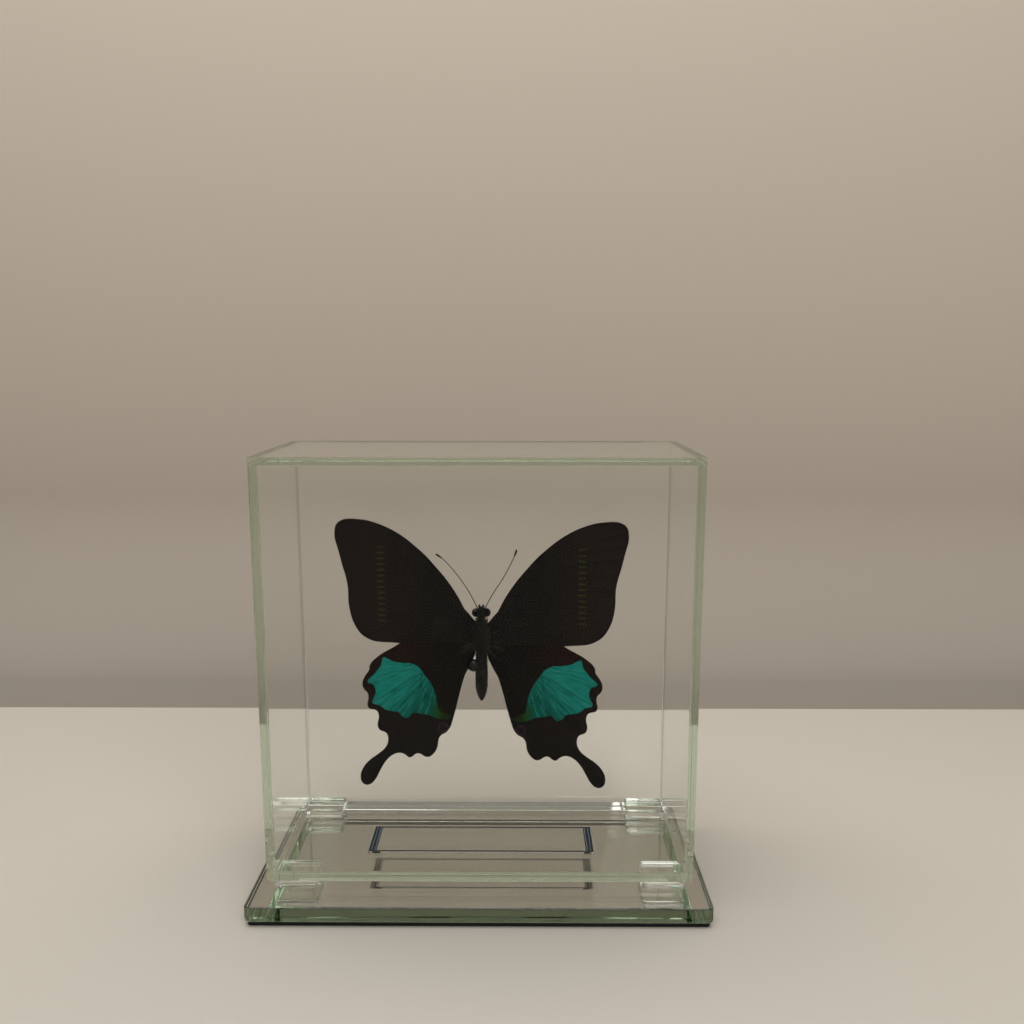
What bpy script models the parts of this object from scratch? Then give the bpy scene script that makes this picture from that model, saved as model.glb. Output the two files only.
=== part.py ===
"""A spread swallowtail butterfly in a closed glass case, on clear pads over a mirror base.

Metres, +Z up, the front facing -Y. The origin is the centre of the felt sheet's underside.
"""

import math

import bmesh
import bpy
from mathutils import Vector

MM = 0.001
GAP = 0.3 * MM  # clearance between pieces that touch, where the real ones are glued

# Mirror base, with a black felt sheet glued underneath
BASE_WIDTH = 161 * MM
BASE_DEPTH = 74.5 * MM
BASE_THICK = 5.5 * MM
BASE_CORNER = 2.5 * MM
BASE_ARRIS = 0.5 * MM
CORNER_STEPS = 6
FELT_THICK = 1.5 * MM
FELT_INSET = 1 * MM
FELT_ARRIS = 0.2 * MM
BASE_BOTTOM = FELT_THICK + GAP
BASE_TOP = BASE_BOTTOM + BASE_THICK

# Glass case
CASE_WIDTH = 150 * MM
CASE_DEPTH = 61 * MM
CASE_HEIGHT = 150 * MM
PANE = 2.8 * MM
PANE_ARRIS = 0.3 * MM
BACK_MARGIN = 2 * MM  # the case stands nearly flush with the back of its base

# Clear corner pads between the base and the case
PAD_WIDTH = 15 * MM
PAD_DEPTH = 12 * MM
PAD_SLOT = 3 * MM  # space between the base and the case
PAD_SIDE_INSET = 2.5 * MM
PAD_END_INSET = 0.5 * MM
PAD_ARRIS = 0.4 * MM

# Label strip lying on the floor pane
LABEL_WIDTH = 83 * MM
LABEL_DEPTH = 18.5 * MM
LABEL_THICK = 0.3 * MM
LABEL_ARRIS = 0.05 * MM
LABEL_SETBACK = 15 * MM  # from the case's front face

CASE_BOTTOM = BASE_TOP + PAD_SLOT
CASE_TOP = CASE_BOTTOM + CASE_HEIGHT
CASE_BACK = BASE_DEPTH / 2 - BACK_MARGIN
CASE_FRONT = CASE_BACK - CASE_DEPTH
FLOOR_TOP = CASE_BOTTOM + PANE

# Butterfly: sizes are measured from the middle of its thorax
THORAX = Vector((0, CASE_FRONT + 29.5 * MM, CASE_BOTTOM + 80 * MM))
WING_ROOT = 3.9  # how far out every wing begins
WING_SETTING = {"left": (0.98, 1.1), "right": (1.0, 0.0)}  # share of the width, and height raised by
WING_THICK = 0.4 * MM
WING_RAISE = math.radians(4)  # the wing tips lean towards the front
FOREWING_FRONT = 1.1 * MM  # how far the wing's face stands in front of the body's axis
WING_CURVE_STEPS = 3

# Head, thorax and abdomen as one turned body: (height from the middle of the thorax, radius)
BODY_STATIONS = (
    (12.3, 0.0), (11.9, 1.2), (10.6, 2.1), (9.4, 2.2), (8.1, 1.8), (7.2, 1.9), (5.2, 2.9),
    (2.0, 3.4), (-1.5, 3.3), (-4.5, 2.7), (-6.5, 2.1), (-9.0, 2.15), (-14.0, 2.3),
    (-18.5, 2.2), (-21.5, 1.6), (-23.4, 0.7), (-24.1, 0.0),
)
BODY_SEGMENTS = 20
STATION_STEPS = 2
EYE_RADIUS = 1.5 * MM
EYE_CENTRE = Vector((2.1, -0.2, 9.9)) * MM

# Wing outlines: (distance out from the body's axis, height from the middle of the thorax)
FOREWING_OUTLINE = (
    (3.9, 5.4), (9.0, 16.1), (16.4, 26.4), (24.4, 34.7), (34.6, 41.5), (45.6, 44.4),
    (51.2, 43.6), (52.9, 41.1), (51.6, 31.7), (48.9, 20.2), (48.5, 12.1), (46.7, 5.6),
    (42.4, 0.4), (35.0, -1.4), (18.0, -1.6), (3.9, -2.2),
)
HINDWING_OUTLINE = (
    (3.9, 0.6), (13.0, 2.2), (24.0, 1.2), (32.5, -3.5), (39.7, -7.9), (41.9, -10.6),
    (42.0, -12.0), (43.8, -14.7), (44.7, -17.4), (44.2, -19.4), (42.8, -20.9), (42.6, -23.3),
    (43.0, -25.4), (42.4, -26.9), (39.6, -27.9), (38.8, -29.9), (39.3, -33.3), (38.5, -35.4),
    (36.3, -36.6), (35.5, -39.2), (36.6, -42.2), (39.3, -44.7), (42.8, -47.3), (45.4, -50.5),
    (46.3, -53.7), (45.3, -56.3), (43.2, -56.9), (41.0, -55.3), (39.1, -52.0), (36.9, -48.2),
    (34.3, -45.6), (31.6, -44.7), (29.4, -45.3), (27.5, -46.5), (24.5, -45.0), (20.9, -46.8),
    (18.5, -45.5), (16.9, -42.7), (16.5, -40.0), (15.4, -38.1), (13.6, -37.1), (12.0, -35.1),
    (11.0, -32.3), (7.3, -18.3), (4.8, -10.4), (3.9, -6.4),
)

# Antennae, as a path of (distance out, height); the left one is spread a little wider
ANTENNA_LEFT = ((1.5, 12.8), (4.2, 17.4), (7.4, 22.4), (10.8, 26.8), (14.0, 30.2), (16.4, 31.9))
ANTENNA_RIGHT = ((1.5, 12.8), (4.4, 17.2), (7.6, 22.2), (10.2, 26.9), (12.0, 30.7), (13.0, 33.5))
ANTENNA_FRONT = 0.6 * MM
ANTENNA_RADIUS = 0.18 * MM
ANTENNA_CLUB = 2.4  # times the shaft's radius, at the tip
CLUB_START = 0.8  # share of the length where the club begins
CLUB_TURN = 0.75 * math.pi  # the club swells over this part of a half wave and ends blunt
ANTENNA_POINTS = 16
WIRE_SIDES = 2  # bevel resolution, for eight sides

# Pin with a ball head, which passes the left side of the abdomen, and its foot on the back pane
PIN_OUT = -2.75 * MM
PIN_HEIGHT = -8.9 * MM
PIN_HEAD_RADIUS = 2.3 * MM
PIN_HEAD_FRONT = 4.2 * MM
PIN_RADIUS = 0.25 * MM
PIN_TAPER = 2 * MM
PIN_SEGMENTS = 12
FOOT_RADIUS = 2.5 * MM
FOOT_HEIGHT = 2 * MM
FOOT_BORE_DEPTH = 1.4 * MM
FOOT_SEGMENTS = 24

SHARP_ANGLE = math.radians(35)  # a round piece is creased where it turns by more than this
ARRIS_ANGLE = math.radians(60)  # edges that turn by more than this get an arris


# Scene and collections

for old in list(bpy.data.objects):
    bpy.data.objects.remove(old, do_unlink=True)

parts = bpy.data.collections.new("butterfly_in_glass_case")
helpers = bpy.data.collections.new("cutters")
bpy.context.scene.collection.children.link(parts)
bpy.context.scene.collection.children.link(helpers)


def make_material(name, colour, roughness, metallic=0.0, transmission=0.0):
    material = bpy.data.materials.new(name)
    material.use_nodes = True
    shader = material.node_tree.nodes["Principled BSDF"]
    shader.inputs["Base Color"].default_value = (*colour, 1)
    shader.inputs["Roughness"].default_value = roughness
    shader.inputs["Metallic"].default_value = metallic
    shader.inputs["Transmission Weight"].default_value = transmission
    material.diffuse_color = (*colour, 1)
    return material


def add_part(name, data, material, collection=parts):
    data.materials.append(material)
    part = bpy.data.objects.new(name, data)
    collection.objects.link(part)
    return part


def finish_mesh(name, builder, smooth=False):
    """Turns a bmesh into a mesh, shaded smooth where the shape is round."""
    mesh = bpy.data.meshes.new(name)
    builder.to_mesh(mesh)
    builder.free()
    if smooth:
        mesh.shade_smooth()
        mesh.set_sharp_from_angle(angle=SHARP_ANGLE)
    return mesh


def box_shape(size):
    builder = bmesh.new()
    bmesh.ops.create_cube(builder, size=1)
    bmesh.ops.scale(builder, vec=size, verts=builder.verts)
    return builder


def add_box(name, low, high, material, arris):
    """A box between two corners, with its sharp edges taken off."""
    low, high = Vector(low), Vector(high)
    mesh = finish_mesh(name, box_shape(high - low))
    part = add_part(name, mesh, material)
    part.location = (low + high) / 2
    add_arris(part, arris)


def add_arris(part, width):
    bevel = part.modifiers.new("arris", "BEVEL")
    bevel.width = width
    bevel.segments = 1
    bevel.limit_method = "ANGLE"
    bevel.angle_limit = ARRIS_ANGLE


def smooth_path(points, steps):
    """Points along a Catmull-Rom curve through an open path, in the units of the path."""
    points = [Vector(point) for point in points]
    path = []
    for index in range(len(points) - 1):
        before = points[max(index - 1, 0)]
        start, end = points[index], points[index + 1]
        after = points[min(index + 2, len(points) - 1)]
        for step in range(steps):
            t = step / steps
            path.append(
                0.5
                * (
                    2 * start
                    + (end - before) * t
                    + (2 * before - 5 * start + 4 * end - after) * t**2
                    + (3 * start - before - 3 * end + after) * t**3
                )
            )
    path.append(points[-1])
    return path


def add_turned(name, profile, segments, material):
    """Turns a profile of (radius, height), given from top to bottom, about its own Z axis."""
    mesh = bpy.data.meshes.new(name)
    vertices = [(radius, 0, height) for radius, height in profile]
    edges = [(index, index + 1) for index in range(len(vertices) - 1)]
    mesh.from_pydata(vertices, edges, [])
    part = add_part(name, mesh, material)
    screw = part.modifiers.new("turn", "SCREW")
    screw.steps = screw.render_steps = segments
    screw.use_merge_vertices = True
    screw.merge_threshold = 0.00001
    screw.use_smooth_shade = True
    return part


# Mirror base: thick float glass, silvered underneath, with rounded corners and polished edges.
# The felt sheet under it has the same shape, a little smaller.

mirror_glass = make_material("mirror_glass", (0.62, 0.66, 0.62), 0.04, metallic=0.9)
black_felt = make_material("black_felt", (0.012, 0.012, 0.012), 0.95)


def add_plate(name, size, corner, bottom, arris, material):
    """A flat plate with rounded corners, standing on the height bottom."""
    builder = box_shape(size)
    upright = [
        edge for edge in builder.edges if abs(edge.verts[0].co.z - edge.verts[1].co.z) > size[2] / 2
    ]
    bmesh.ops.bevel(
        builder, geom=upright, offset=corner, segments=CORNER_STEPS, profile=0.5, affect="EDGES"
    )
    plate = add_part(name, finish_mesh(name, builder), material)
    plate.location = (0, 0, bottom + size[2] / 2)
    add_arris(plate, arris)


def build_base():
    base_size = (BASE_WIDTH, BASE_DEPTH, BASE_THICK)
    add_plate("mirror_base", base_size, BASE_CORNER, BASE_BOTTOM, BASE_ARRIS, mirror_glass)
    felt_size = (BASE_WIDTH - 2 * FELT_INSET, BASE_DEPTH - 2 * FELT_INSET, FELT_THICK)
    add_plate("felt_sheet", felt_size, BASE_CORNER - FELT_INSET, 0, FELT_ARRIS, black_felt)


build_base()


# Pads: four clear blocks that carry the case at its corners

clear_plastic = make_material("clear_plastic", (0.86, 0.9, 0.87), 0.08, transmission=1.0)


def build_pads():
    outer = CASE_WIDTH / 2 - PAD_SIDE_INSET
    inner = outer - PAD_WIDTH
    sides = {"left": (-outer, -inner), "right": (inner, outer)}
    front = CASE_FRONT + PAD_END_INSET
    back = CASE_BACK - PAD_END_INSET
    ends = {"front": (front, front + PAD_DEPTH), "back": (back - PAD_DEPTH, back)}
    for end, (near, far) in ends.items():
        for side, (left, right) in sides.items():
            low = (left, near, BASE_TOP + GAP)
            high = (right, far, CASE_BOTTOM - GAP)
            add_box(f"pad_{end}_{side}", low, high, clear_plastic, PAD_ARRIS)


build_pads()


# Glass case: a floor and a top pane with four walls between them, glued edge to edge. The side
# panes run the whole depth, and the front and back panes stand between them.

case_glass = make_material("case_glass", (0.8, 0.92, 0.85), 0.02, transmission=1.0)


def build_case():
    half = CASE_WIDTH / 2
    wall_low = FLOOR_TOP + GAP
    wall_high = CASE_TOP - PANE - GAP
    inner = half - PANE - GAP
    panes = {
        "floor_pane": ((-half, CASE_FRONT, CASE_BOTTOM), (half, CASE_BACK, FLOOR_TOP)),
        "top_pane": ((-half, CASE_FRONT, CASE_TOP - PANE), (half, CASE_BACK, CASE_TOP)),
        "front_pane": ((-inner, CASE_FRONT, wall_low), (inner, CASE_FRONT + PANE, wall_high)),
        "back_pane": ((-inner, CASE_BACK - PANE, wall_low), (inner, CASE_BACK, wall_high)),
        "left_pane": ((-half, CASE_FRONT, wall_low), (PANE - half, CASE_BACK, wall_high)),
        "right_pane": ((half - PANE, CASE_FRONT, wall_low), (half, CASE_BACK, wall_high)),
    }
    for name, (low, high) in panes.items():
        add_box(name, low, high, case_glass, PANE_ARRIS)


build_case()


# Label: a strip of printed clear film on the floor of the case

label_film = make_material("label_film", (0.55, 0.6, 0.62), 0.3)


def build_label():
    front = CASE_FRONT + LABEL_SETBACK
    bottom = FLOOR_TOP + GAP
    low = (-LABEL_WIDTH / 2, front, bottom)
    high = (LABEL_WIDTH / 2, front + LABEL_DEPTH, bottom + LABEL_THICK)
    add_box("label_strip", low, high, label_film, LABEL_ARRIS)


build_label()


# Butterfly body: head with its two eyes, thorax and abdomen, grown as one piece

body_brown = make_material("body_brown", (0.035, 0.03, 0.026), 0.8)


def add_eye(side):
    builder = bmesh.new()
    bmesh.ops.create_uvsphere(builder, u_segments=14, v_segments=8, radius=EYE_RADIUS)
    eye = add_part(f"eye_shape_{side}", finish_mesh("eye", builder), body_brown, helpers)
    eye.location = THORAX + Vector((side * EYE_CENTRE.x, EYE_CENTRE.y, EYE_CENTRE.z))
    eye.hide_render = True
    return eye


def build_body():
    stations = smooth_path(((height, radius) for height, radius in BODY_STATIONS), STATION_STEPS)
    profile = [(max(radius, 0) * MM, height * MM) for height, radius in stations]
    body = add_turned("butterfly_body", profile, BODY_SEGMENTS, body_brown)
    body.location = THORAX
    for side in (-1, 1):
        union = body.modifiers.new("eye", "BOOLEAN")
        union.operation = "UNION"
        union.object = add_eye(side)


build_body()


# Wings: thin membranes, the forewings lying in front of the hindwings' leading edges

wing_black = make_material("wing_black", (0.03, 0.022, 0.018), 0.6)
wing_teal = make_material("wing_teal", (0.02, 0.16, 0.14), 0.5)


def add_wing(name, outline, side, setting, front, material):
    curve = bpy.data.curves.new(name, "CURVE")
    curve.dimensions = "2D"
    curve.fill_mode = "BOTH"
    curve.extrude = WING_THICK / 2
    curve.resolution_u = WING_CURVE_STEPS
    spline = curve.splines.new("BEZIER")
    spline.bezier_points.add(len(outline) - 1)
    spline.use_cyclic_u = True
    share, raised = setting
    for point, (out, height) in zip(spline.bezier_points, outline):
        set_out = WING_ROOT + (out - WING_ROOT) * share
        point.co = (side * set_out * MM, (height + raised) * MM, 0)
        point.handle_left_type = point.handle_right_type = "AUTO"
    for root in (spline.bezier_points[0], spline.bezier_points[-1]):
        root.handle_left_type = root.handle_right_type = "VECTOR"
    wing = add_part(name, curve, material)
    wing.rotation_euler = (math.pi / 2, 0, -side * WING_RAISE)
    wing.location = THORAX - Vector((0, front - WING_THICK / 2, 0))


def build_wings():
    hindwing_front = FOREWING_FRONT - WING_THICK - GAP
    for name, side in (("left", -1), ("right", 1)):
        setting = WING_SETTING[name]
        add_wing(f"forewing_{name}", FOREWING_OUTLINE, side, setting, FOREWING_FRONT, wing_black)
        add_wing(f"hindwing_{name}", HINDWING_OUTLINE, side, setting, hindwing_front, wing_teal)


build_wings()


# Antennae: fine stiff threads that thicken to a club at the tip


def add_antenna(name, path, side):
    curve = bpy.data.curves.new(name, "CURVE")
    curve.dimensions = "3D"
    curve.bevel_depth = ANTENNA_RADIUS
    curve.bevel_resolution = WIRE_SIDES
    curve.use_fill_caps = True
    steps = ANTENNA_POINTS // (len(path) - 1)
    points = smooth_path(path, steps)
    spline = curve.splines.new("POLY")
    spline.points.add(len(points) - 1)
    for index, (point, (out, height)) in enumerate(zip(spline.points, points)):
        share = index / (len(points) - 1)
        point.co = (side * out * MM, -ANTENNA_FRONT, height * MM, 1)
        club = max(share - CLUB_START, 0) / (1 - CLUB_START)
        point.radius = 1 + (ANTENNA_CLUB - 1) * math.sin(club * CLUB_TURN)
    antenna = add_part(name, curve, body_brown)
    antenna.location = THORAX


add_antenna("antenna_left", ANTENNA_LEFT, -1)
add_antenna("antenna_right", ANTENNA_RIGHT, 1)


# Pin: a black ball head in front, a steel shaft straight back, and a clear foot on the back pane

pin_black = make_material("pin_black", (0.01, 0.01, 0.011), 0.15)
pin_steel = make_material("pin_steel", (0.5, 0.5, 0.5), 0.3, metallic=1.0)

PIN_AXIS = THORAX + Vector((PIN_OUT, 0, PIN_HEIGHT))
HEAD_MIDDLE = PIN_AXIS.y - PIN_HEAD_FRONT
FOOT_BACK = CASE_BACK - PANE - GAP
FOOT_FACE = FOOT_BACK - FOOT_HEIGHT
PIN_TIP = FOOT_FACE + FOOT_BORE_DEPTH - GAP
FACING_FRONT = (math.pi / 2, 0, 0)  # turns a piece's own Z axis towards the front


def build_pin():
    builder = bmesh.new()
    bmesh.ops.create_uvsphere(builder, u_segments=20, v_segments=12, radius=PIN_HEAD_RADIUS)
    head = add_part("pin_head", finish_mesh("pin_head", builder, smooth=True), pin_black)
    head.location = (PIN_AXIS.x, HEAD_MIDDLE, PIN_AXIS.z)
    shaft_front = HEAD_MIDDLE + PIN_HEAD_RADIUS + GAP
    length = PIN_TIP - shaft_front
    profile = ((0, 0), (PIN_RADIUS, 0), (PIN_RADIUS, PIN_TAPER - length), (0, -length))
    shaft = add_turned("pin_shaft", profile, PIN_SEGMENTS, pin_steel)
    shaft.location = (PIN_AXIS.x, shaft_front, PIN_AXIS.z)
    shaft.rotation_euler = FACING_FRONT


def build_foot():
    bore = PIN_RADIUS + GAP
    profile = (
        (0, FOOT_HEIGHT - FOOT_BORE_DEPTH),
        (bore, FOOT_HEIGHT - FOOT_BORE_DEPTH),
        (bore, FOOT_HEIGHT),
        (FOOT_RADIUS, FOOT_HEIGHT),
        (FOOT_RADIUS, 0),
        (0, 0),
    )
    foot = add_turned("pin_foot", profile, FOOT_SEGMENTS, clear_plastic)
    foot.location = (PIN_AXIS.x, FOOT_BACK, PIN_AXIS.z)
    foot.rotation_euler = FACING_FRONT


build_pin()
build_foot()
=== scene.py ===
import math
import random

import bmesh
import bpy
from mathutils import Matrix, Vector, geometry, kdtree, noise


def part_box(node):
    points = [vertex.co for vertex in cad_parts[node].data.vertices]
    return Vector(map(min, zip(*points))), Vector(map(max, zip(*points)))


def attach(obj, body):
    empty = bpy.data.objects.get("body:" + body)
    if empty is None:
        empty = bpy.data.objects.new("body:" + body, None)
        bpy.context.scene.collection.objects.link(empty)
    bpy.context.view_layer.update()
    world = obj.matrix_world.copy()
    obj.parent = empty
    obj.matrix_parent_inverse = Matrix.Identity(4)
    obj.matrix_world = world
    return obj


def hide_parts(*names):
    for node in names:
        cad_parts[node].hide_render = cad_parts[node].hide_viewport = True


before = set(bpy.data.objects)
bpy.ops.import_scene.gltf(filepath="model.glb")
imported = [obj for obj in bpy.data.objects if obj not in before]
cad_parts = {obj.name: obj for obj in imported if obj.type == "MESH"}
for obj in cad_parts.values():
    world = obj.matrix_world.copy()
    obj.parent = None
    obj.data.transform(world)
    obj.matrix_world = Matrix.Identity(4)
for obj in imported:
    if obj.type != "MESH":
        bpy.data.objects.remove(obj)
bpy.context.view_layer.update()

scene = bpy.context.scene
MM = 0.001

# ---- Table top, light and camera ----------------------------------------------------------------
# A pale card lies flat under the case. Behind it a greyer one, paler towards its top, sweeps up; its darker
# foot is painted shade.
# The light is soft: a large box overhead, a weaker one in front, and a pale dome. None of this
# belongs to the object.

scene.view_settings.view_transform = "Standard"
scene.cycles.max_bounces, scene.cycles.transmission_bounces, scene.cycles.glossy_bounces = 32, 32, 24

CAMERA_PLACE = Vector((13.2, -322.15, 191.5)) * MM
CAMERA_DOWN, CAMERA_LEFT = math.radians(9.43), math.radians(0.34)
CAMERA_LENS = 32.17

camera = bpy.data.objects.new("camera", bpy.data.cameras.new("camera"))
camera.data.lens = CAMERA_LENS
camera.data.clip_start = 10 * MM
camera.location = CAMERA_PLACE
camera.rotation_euler = (math.pi / 2 - CAMERA_DOWN, 0, CAMERA_LEFT)
scene.collection.objects.link(camera)
scene.camera = camera

CARD_FRONT, CARD_BEND, CARD_RADIUS = -1500 * MM, 163 * MM, 105 * MM
CARD_HALF_WIDTH, CARD_HEIGHT = 1600 * MM, 1300 * MM
CARD_ROUGHNESS = 0.9
TABLE_COLOUR = (0.62, 0.585, 0.525, 1)
# The wall grades from its head colour down to a darker foot colour: painted shade.
WALL_SHADED_FOOT_COLOUR, WALL_HEAD_COLOUR = (0.305, 0.272, 0.234, 1), (0.68, 0.60, 0.51, 1)
WALL_PALE_FROM, WALL_PALE_TO = 5 * MM, 400 * MM


def add_node(tree, kind, inputs=(), **settings):
    """A shader node. inputs pairs each socket with a number, a colour or another node's output."""
    made = tree.nodes.new("ShaderNode" + kind)
    for name, value in settings.items():
        setattr(made, name, value)
    for socket, value in dict(inputs).items():
        if isinstance(value, bpy.types.NodeSocket):
            tree.links.new(value, made.inputs[socket])
        else:
            made.inputs[socket].default_value = value
    return made


def new_finish(name, **plain):
    """A material, its plain values set on the shader's own sockets: Base_Color=..., Roughness=..."""
    material = bpy.data.materials.new(name)
    material.use_nodes = True
    shader = material.node_tree.nodes["Principled BSDF"]
    for socket, value in plain.items():
        shader.inputs[socket.replace("_", " ")].default_value = value
    return material, material.node_tree, shader


def tinted(tree, share, under, over):
    """The colour over laid on the colour under by the given share."""
    return add_node(tree, "Mix", {0: share, 6: under, 7: over}, data_type="RGBA").outputs[2]


def object_from(shape, name, *materials):
    """The bmesh becomes an object of the scene, its place left in its mesh."""
    mesh = bpy.data.meshes.new(name)
    shape.to_mesh(mesh)
    shape.free()
    for material in materials:
        mesh.materials.append(material)
    made = bpy.data.objects.new(name, mesh)
    scene.collection.objects.link(made)
    return made


def corners_of(made):
    """The vertices in what a bmesh operator gave back."""
    return [item for item in made if isinstance(item, bmesh.types.BMVert)]


def edges_of(made):
    """The edges in what a bmesh operator gave back."""
    return [item for item in made if isinstance(item, bmesh.types.BMEdge)]


card = bmesh.new()
line = [card.verts.new((side * CARD_HALF_WIDTH, CARD_FRONT, 0)) for side in (1, -1)]
line.append(card.edges.new(line))
flat = bmesh.ops.extrude_edge_only(card, edges=edges_of(line))["geom"]
bmesh.ops.translate(card, verts=corners_of(flat), vec=(0, CARD_BEND - CARD_FRONT, 0))
bmesh.ops.recalc_face_normals(card, faces=card.faces[:])
table_paper = new_finish("table_paper", Base_Color=TABLE_COLOUR, Roughness=CARD_ROUGHNESS)[0]
table_card = object_from(card, "table_card", table_paper)
table_card.visible_glossy = False  # keeps the bright table out of the panes, as a black flag would

sweep = bmesh.new()
line = [sweep.verts.new((side * CARD_HALF_WIDTH, CARD_BEND, 0)) for side in (1, -1)]
line.append(sweep.edges.new(line))
bend = bmesh.ops.spin(
    sweep, geom=line, cent=(0, CARD_BEND, CARD_RADIUS), axis=(1, 0, 0), angle=math.pi / 2, steps=32
)["geom_last"]
wall = bmesh.ops.extrude_edge_only(sweep, edges=edges_of(bend))["geom"]
bmesh.ops.translate(sweep, verts=corners_of(wall), vec=(0, 0, CARD_HEIGHT))
bmesh.ops.recalc_face_normals(sweep, faces=sweep.faces[:])
for face in sweep.faces:
    face.smooth = True
wall_paper, tree, shader = new_finish("wall_paper", Roughness=CARD_ROUGHNESS)
# The wall's colour darkens towards its foot: painted shade, where less light falls.
high = add_node(tree, "SeparateXYZ", {0: add_node(tree, "TexCoord").outputs["Object"]}).outputs["Z"]
climb = add_node(
    tree, "MapRange", {"Value": high, "From Min": WALL_PALE_FROM, "From Max": WALL_PALE_TO}
).outputs[0]
share = add_node(tree, "Math", {0: climb, 1: 0.5}, operation="POWER").outputs[0]
shaded = tinted(tree, share, WALL_SHADED_FOOT_COLOUR, WALL_HEAD_COLOUR)
tree.links.new(shaded, shader.inputs["Base Color"])
wall_card = object_from(sweep, "wall_card", wall_paper)

LAMP_AIM, LAMP_COLOUR = Vector((0, 0, 0.08)), (1.0, 0.975, 0.94)
LAMPS = (  # name, place and width in metres, watts
    ("overhead_softbox", Vector((-0.10, 0.10, 0.95)), 0.9, 7.0),
    ("front_softbox", Vector((0.45, -0.95, 0.85)), 0.7, 3.5),
)
for name, place, width, watts in LAMPS:
    light = bpy.data.lights.new(name, "AREA")
    light.shape, light.size, light.energy, light.color = "SQUARE", width, watts, LAMP_COLOUR
    lamp = bpy.data.objects.new(name, light)
    lamp.location = place
    lamp.rotation_euler = (LAMP_AIM - place).to_track_quat("-Z", "Y").to_euler()
    scene.collection.objects.link(lamp)

DOME_HIGH, DOME_LOW, DOME_STRENGTH = (1.0, 0.97, 0.93, 1), (0.03, 0.03, 0.03, 1), 0.35
DARK_BELOW, PALE_ABOVE = -0.11, -0.05  # sines of the angle to the horizon
dome = bpy.data.worlds.new("soft_dome")
dome.use_nodes = True
sky = dome.node_tree
ray = add_node(sky, "TexCoord").outputs["Generated"]
height = add_node(sky, "SeparateXYZ", {0: ray}).outputs["Z"]
share = add_node(
    sky, "MapRange", {"Value": height, "From Min": DARK_BELOW, "From Max": PALE_ABOVE}
).outputs[0]
background = sky.nodes["Background"]
sky.links.new(tinted(sky, share, DOME_LOW, DOME_HIGH), background.inputs["Color"])
background.inputs["Strength"].default_value = DOME_STRENGTH
scene.world = dome

# ---- Mirror base and its felt --------------------------------------------------------------------
# A slab of 5.5 mm float glass with rounded corners and polished edges, silvered underneath. The
# silver and its grey backing paint are a thin layer, laid into the underside of the glass. A sheet
# of black felt, cut a little smaller, is glued below it; its black is painted shade, the dark shade
# of the gap under the base.

CORNER_RADIUS = 2.5 * MM
BASE_ARRIS = 0.45 * MM
BASE_CORNER_STEPS = 10
SILVER_INSET, SILVER_RIM = 0.5 * MM, 0.04 * MM
SILVER_THICK = 0.2 * MM
SILVER_DEPTH = 0.1 * MM  # how much of the layer stands below the glass
GLASS_IOR = 1.52
BASE_TINT, BASE_DENSITY = (0.16, 0.78, 0.30, 1), 7.5
FACING = 0.9  # least part of a face's normal that lies along an axis when it faces that way


def new_glass(name, tint, density, gleam):
    """Clear float glass, green only through its depth. gleam scales what its faces reflect."""
    material, tree, shader = new_finish(
        name, Base_Color=(1, 1, 1, 1), Roughness=0.0, Transmission_Weight=1.0, IOR=GLASS_IOR,
        Specular_Tint=(gleam, gleam, gleam, 1),
    )
    body = add_node(tree, "VolumeAbsorption", {"Color": tint, "Density": density})
    out = tree.nodes["Material Output"]
    tree.links.new(body.outputs[0], out.inputs["Volume"])
    return material, tree, shader


def relief(tree, shader, height, strength, distance):
    """A fine relief on the surface, from the output of a node."""
    bump = add_node(tree, "Bump", {"Height": height, "Strength": strength, "Distance": distance})
    tree.links.new(bump.outputs[0], shader.inputs["Normal"])


def cut_slab(low, high, corner, arris, corner_steps=6, arris_steps=2):
    """A slab between two corners, its upright edges rounded and then all its rims eased."""
    slab = bmesh.new()
    size = high - low
    place = Matrix.Translation((low + high) / 2) @ Matrix.Diagonal((*size, 1))
    bmesh.ops.create_cube(slab, size=1, matrix=place)
    if corner:
        upright = [e for e in slab.edges if abs((e.verts[0].co - e.verts[1].co).z) > size.z / 2]
        bmesh.ops.bevel(
            slab, geom=upright, offset=corner, offset_type="OFFSET", affect="EDGES",
            segments=corner_steps, profile=0.5, material=-1,
        )
        sharp = [e for e in slab.edges if abs((e.verts[0].co - e.verts[1].co).z) < size.z / 2]
    else:
        sharp = slab.edges[:]
    bmesh.ops.bevel(
        slab, geom=sharp, offset=arris, offset_type="OFFSET", affect="EDGES",
        segments=arris_steps, profile=0.5, material=-1,
    )
    bmesh.ops.recalc_face_normals(slab, faces=slab.faces[:])
    return slab


def fit(piece, slot, *nodes):
    """The piece rides on the case and stands for the CAD nodes named. Its slot argument is not used."""
    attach(piece, "root")
    if nodes:
        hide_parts(*nodes)
    return piece


base_low, base_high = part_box("mirror_base")
base_glass = new_glass("base_glass", BASE_TINT, BASE_DENSITY, 1.0)[0]
slab_low = base_low + Vector((0, 0, SILVER_DEPTH))
slab = cut_slab(slab_low, base_high, CORNER_RADIUS, BASE_ARRIS, BASE_CORNER_STEPS)
fit(object_from(slab, "base_slab", base_glass), "mirror_base", "mirror_base")

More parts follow.
